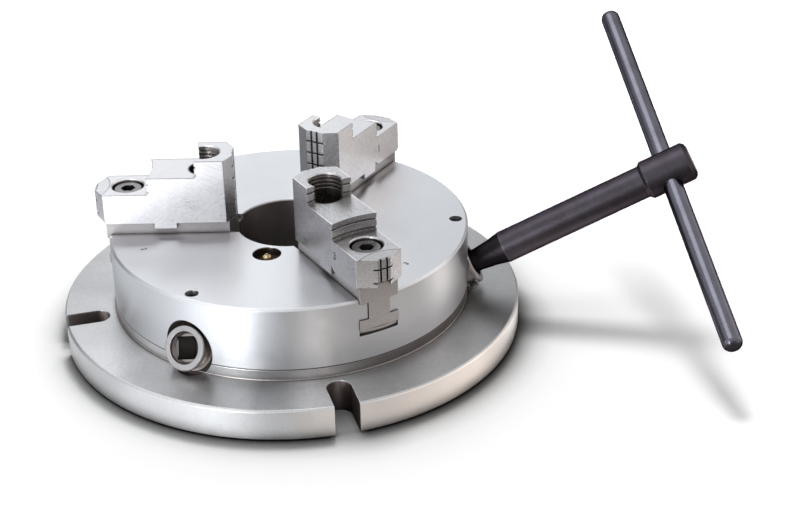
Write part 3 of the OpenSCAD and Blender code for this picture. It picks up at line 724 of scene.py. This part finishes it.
def floor_material():
    t = material("pale_floor")
    x, y, _ = t.xyz(t.coords())
    sky = t.new("ShaderNodeAmbientOcclusion")
    sky.samples = 12
    sky.inputs["Distance"].default_value = SHADE_REACH
    far = t.distance(t.math("SUBTRACT", x, SIDE_AT[0]), t.math("SUBTRACT", y, SIDE_AT[1]))
    matt = t.new("ShaderNodeBsdfDiffuse")
    t.link(t.times(t.grey(sky.outputs["AO"], OPEN_SHADE), t.grey(far, SIDE_SHADE)), matt.inputs["Color"])
    r = t.distance(x, y)
    slot = t.math("MAXIMUM", t.fall(t.math("ABSOLUTE", x), *SLOT_HALF),
                  t.fall(t.math("ABSOLUTE", y), *SLOT_HALF))
    given = t.math("ADD", t.grey(r, FLOOR_GLOW), t.times(slot, t.grey(r, SLOT_GLOW)))
    rays = t.new("ShaderNodeLightPath")
    seen = t.math("ADD", rays.outputs["Is Camera Ray"], rays.outputs["Is Transmission Ray"], clamp=True)
    glow = t.new("ShaderNodeEmission")
    glow.inputs["Color"].default_value = (*WHITE, 1)
    t.link(t.times(seen, given), glow.inputs["Strength"])
    both = t.new("ShaderNodeAddShader")
    t.link(matt.outputs[0], both.inputs[0])
    t.link(glow.outputs[0], both.inputs[1])
    return t.finish(both)


corners = [(sx * FLOOR_HALF, sy * FLOOR_HALF, 0) for sx, sy in ((-1, -1), (1, -1), (1, 1), (-1, 1))]
stage_mesh("floor", corners, [(0, 1, 2, 3)], floor_material())

# Brightness of the boards by azimuth in degrees: a wall all round, and three flat rings on the floor.
# Between COOL_FROM and COOL_TO they are tinted cool, elsewhere warm.
BOARDS = [(0, 1.7), (14, 1.6), (24, 0.8), (36, 0.45), (60, 0.6), (72, 1.05), (84, 1.6), (100, 1.55),
          (112, 0.7), (134, 0.16), (146, 0.88), (160, 0.95), (170, 0.95), (184, 1.42), (204, 1.15),
          (211, 1.2), (232, 1.1), (240, 0.4), (250, 0.3), (262, 0.3), (276, 0.32), (292, 0.4),
          (308, 0.75), (322, 0.85), (334, 0.8), (348, 1.5), (360, 1.7)]
NEAR_BOARDS = [(0, 0.28), (10, 0.2), (22, 0.2), (60, 0.6), (80, 0.9), (100, 0.85), (116, 0.8), (136, 0.45),
               (150, 0.85), (163, 0.95), (175, 1.0), (190, 1.1), (204, 1.15), (211, 1.5), (236, 1.6),
               (243, 1.2), (252, 0.95), (262, 0.95), (272, 0.95), (282, 0.85), (292, 0.86), (304, 1.05),
               (314, 1.1), (322, 0.95), (330, 1.1), (338, 1.8), (346, 1.2), (354, 0.5), (360, 0.28)]
LOW_BOARDS = [(0, 0.28), (10, 0.2), (22, 0.2), (60, 0.6), (80, 0.9), (100, 0.85), (116, 0.8), (136, 0.45),
              (150, 0.85), (163, 0.92), (175, 0.85), (190, 0.92), (204, 1.1), (211, 1.5), (236, 1.5),
              (243, 0.65), (250, 0.6), (256, 0.47), (261, 0.8), (265, 1.5), (270, 1.5), (275, 0.95),
              (281, 0.7), (290, 0.66), (304, 0.72), (312, 0.72), (319, 0.6), (328, 1.0), (338, 1.75),
              (346, 1.2), (354, 0.5), (360, 0.28)]
OUTER_BOARDS = [(0, 0.85), (12, 0.9), (22, 0.32), (60, 0.6), (80, 0.9), (100, 0.85), (116, 0.8), (136, 0.3),
                (150, 0.6), (163, 0.8), (190, 1.1), (204, 1.6), (211, 2.0), (236, 2.0), (243, 1.1),
                (252, 0.4), (262, 0.28), (276, 0.28), (288, 0.26), (300, 0.22), (318, 0.24), (330, 0.3),
                (346, 0.5), (360, 0.85)]
COOL_FROM = 40
COOL_TO = 255
COOL = (0.95, 0.975, 1.0)
WARM = (1.0, 0.945, 0.90)
RING_PARTS = 96


def board_material(name, table):
    t = material(name)
    x, y, _ = t.xyz(t.coords())
    a = t.math("ARCTAN2", t.times(y, -1.0), t.times(x, -1.0))
    top = max(v for _, v in table)
    stops = [(d / 360, scaled(COOL if COOL_FROM < d < COOL_TO else WARM, v / top)) for d, v in table]
    glow = t.new("ShaderNodeEmission")
    t.link(t.ramp(t.span(a, -math.pi, math.pi, 0, 1), stops), glow.inputs["Color"])
    glow.inputs["Strength"].default_value = top
    return t.finish(glow)


def board_ring(name, r0, z0, r1, z1, mat):
    verts = []
    faces = []
    for i in range(RING_PARTS):
        a = 2 * math.pi * i / RING_PARTS
        verts += [(r0 * math.cos(a), r0 * math.sin(a), z0), (r1 * math.cos(a), r1 * math.sin(a), z1)]
        j = (i + 1) % RING_PARTS
        faces.append((2 * i, 2 * j, 2 * j + 1, 2 * i + 1))
    ob = stage_mesh(name, verts, faces, mat)
    for ray in ("camera", "diffuse", "shadow", "transmission", "volume_scatter"):
        setattr(ob, f"visible_{ray}", False)


WALL_R = 1.6
WALL_H = 1.3
RING_Z = 0.0005  # just over the floor
FLAT_RINGS = (
    ("near", 0.112, 0.132, NEAR_BOARDS),
    ("low", 0.132, 0.185, LOW_BOARDS),
    ("outer", 0.185, WALL_R, OUTER_BOARDS),
)
board_ring("studio_ring", WALL_R, 0.0, WALL_R, WALL_H, board_material("studio_boards", BOARDS))
for name, r0, r1, table in FLAT_RINGS:
    board_ring(f"studio_{name}_ring", r0, RING_Z, r1, RING_Z, board_material(f"studio_{name}_boards", table))

# Name, power, diameter, place and colour of each lamp, and the kind of light that it doesn't give
LAMP_TINT = (0.97, 0.985, 1.0)
LAMP_AIM = Vector((0, 0, 0.03))
LAMPS = (
    ("key", 8.0, 0.30, (0.17, 0.42, 1.2), WHITE, "glossy"),
    ("fill", 9.0, 1.4, (0, 0.2, 1.3), WHITE, "glossy"),
    ("softbox", 4.2, 1.0, (-0.35, 0.2, 1.3), LAMP_TINT, "diffuse"),
    ("front", 7.0, 0.4, (-0.84, -0.86, 0.24), LAMP_TINT, "diffuse"),
)
for name, power, size, place, color, without in LAMPS:
    li = bpy.data.lights.new(name, "AREA")
    li.energy = power
    li.shape = "DISK"
    li.size = size
    li.color = color
    ob = bpy.data.objects.new(name, li)
    scene.collection.objects.link(ob)
    ob.location = place
    ob.rotation_euler = (LAMP_AIM - Vector(place)).to_track_quat("-Z", "Y").to_euler()
    ob.visible_camera = False
    setattr(ob, f"visible_{without}", False)

# World: white where it is seen or mirrored, and a faint light on the part
WORLD_LIGHT = 0.12
scene.world = bpy.data.worlds.new("studio")
wt = Tree(scene.world, "ShaderNodeOutputWorld")
rays = wt.new("ShaderNodeLightPath")
seen = wt.math("MAXIMUM", rays.outputs["Is Camera Ray"], rays.outputs["Is Glossy Ray"])
seen = wt.math("MAXIMUM", seen, rays.outputs["Is Transmission Ray"])
sky = wt.new("ShaderNodeBackground")
sky.inputs["Color"].default_value = (*WHITE, 1)
wt.link(wt.span(seen, 0.0, 1.0, WORLD_LIGHT, 1.0), sky.inputs["Strength"])
wt.finish(sky)
